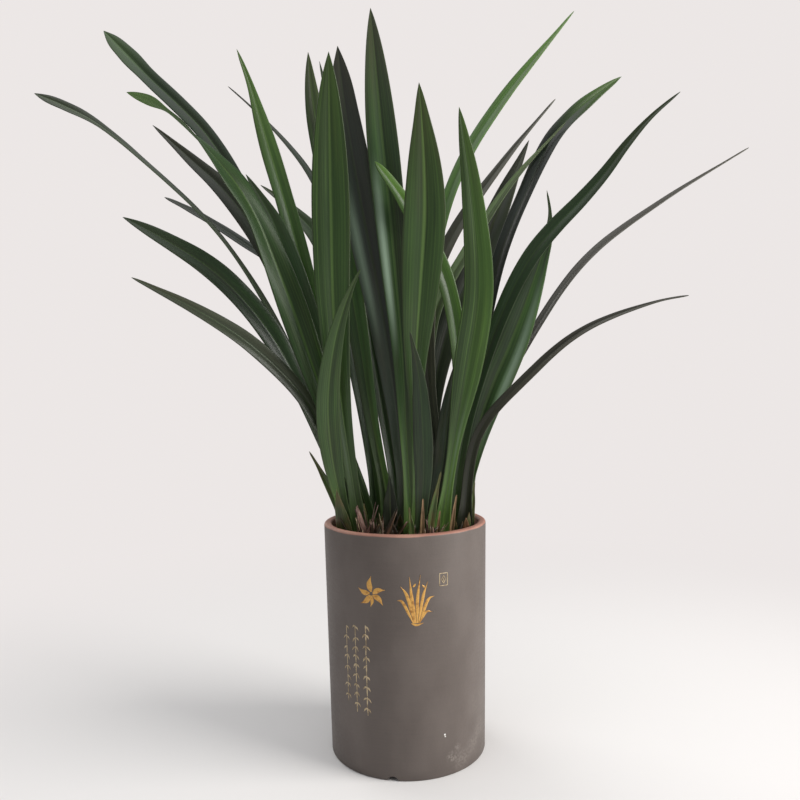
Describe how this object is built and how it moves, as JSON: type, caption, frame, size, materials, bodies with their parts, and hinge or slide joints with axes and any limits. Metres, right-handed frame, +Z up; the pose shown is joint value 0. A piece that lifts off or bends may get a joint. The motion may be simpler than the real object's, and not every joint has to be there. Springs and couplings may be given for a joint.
{
  "type": "potted orchid",
  "caption": "Foliage orchid with long folded strap leaves in several fans, growing from bark in a tall straight-sided clay pot with a footed drain.",
  "frame": {"origin": "centre of the pot's foot, on the surface that the pot stands on", "axes": "+Z up the pot's axis; -Y towards the front of the plant, where the leaf bases and the front drain channel show; +X towards the right-hand fan"},
  "size_m": [0.751, 0.2494, 0.7668],
  "materials": {
    "clay": "unglazed stoneware, matt to satin, dark grey-brown outside, red clay at the rim",
    "gilt": "thin worn gilding in the carved ornament",
    "bark": "rough damp bark chips",
    "leaf_deep": "waxy satin leaf, dark green with fine lengthwise veins",
    "leaf_mid": "waxy satin leaf, mid green with fine lengthwise veins",
    "leaf_light": "waxy satin leaf, lighter green with fine lengthwise veins",
    "leaf_dusky": "waxy satin leaf, dark olive to blackish green",
    "leaf_bright": "waxy satin leaf, yellow-green",
    "sheath_green": "satin young sheath",
    "sheath_dry": "papery dry sheath",
    "bulb": "satin, ribbed, partly brown"
  },
  "bodies": {
    "root": {"pot": "clay", "bark_mix": "bark", "left_fan_leaf_1": "leaf_deep", "left_fan_leaf_2": "leaf_deep", "left_fan_leaf_3": "leaf_mid", "left_fan_leaf_4": "leaf_mid", "left_fan_leaf_5": "leaf_light", "left_fan_leaf_6": "leaf_light", "inner_left_fan_leaf_1": "leaf_deep", "inner_left_fan_leaf_2": "leaf_dusky", "inner_left_fan_leaf_3": "leaf_dusky", "inner_left_fan_leaf_4": "leaf_deep", "inner_left_fan_leaf_5": "leaf_light", "inner_left_fan_leaf_6": "leaf_mid", "centre_fan_leaf_1": "leaf_dusky", "centre_fan_leaf_2": "leaf_deep", "centre_fan_leaf_3": "leaf_deep", "centre_fan_leaf_4": "leaf_mid", "centre_fan_leaf_5": "leaf_light", "centre_fan_leaf_6": "leaf_deep", "inner_right_fan_leaf_1": "leaf_bright", "inner_right_fan_leaf_2": "leaf_dusky", "inner_right_fan_leaf_3": "leaf_dusky", "inner_right_fan_leaf_4": "leaf_dusky", "inner_right_fan_leaf_5": "leaf_bright", "inner_right_fan_leaf_6": "leaf_mid", "right_fan_leaf_1": "leaf_deep", "right_fan_leaf_2": "leaf_mid", "right_fan_leaf_3": "leaf_dusky", "right_fan_leaf_4": "leaf_dusky", "right_fan_leaf_5": "leaf_dusky", "back_fan_leaf_1": "leaf_bright", "back_fan_leaf_2": "leaf_dusky", "back_fan_leaf_3": "leaf_deep", "left_sheath": "sheath_green", "right_sheath": "sheath_green", "front_spike": "sheath_green", "broad_stub": "sheath_green", "dry_sheath_1": "sheath_dry", "dry_sheath_2": "sheath_dry", "dry_sheath_3": "sheath_dry", "green_spike": "sheath_green", "bulb_1": "bulb", "bulb_2": "bulb", "bulb_3": "bulb", "bulb_4": "bulb", "bulb_5": "bulb", "bulb_6": "bulb"}
  },
  "joints": []
}
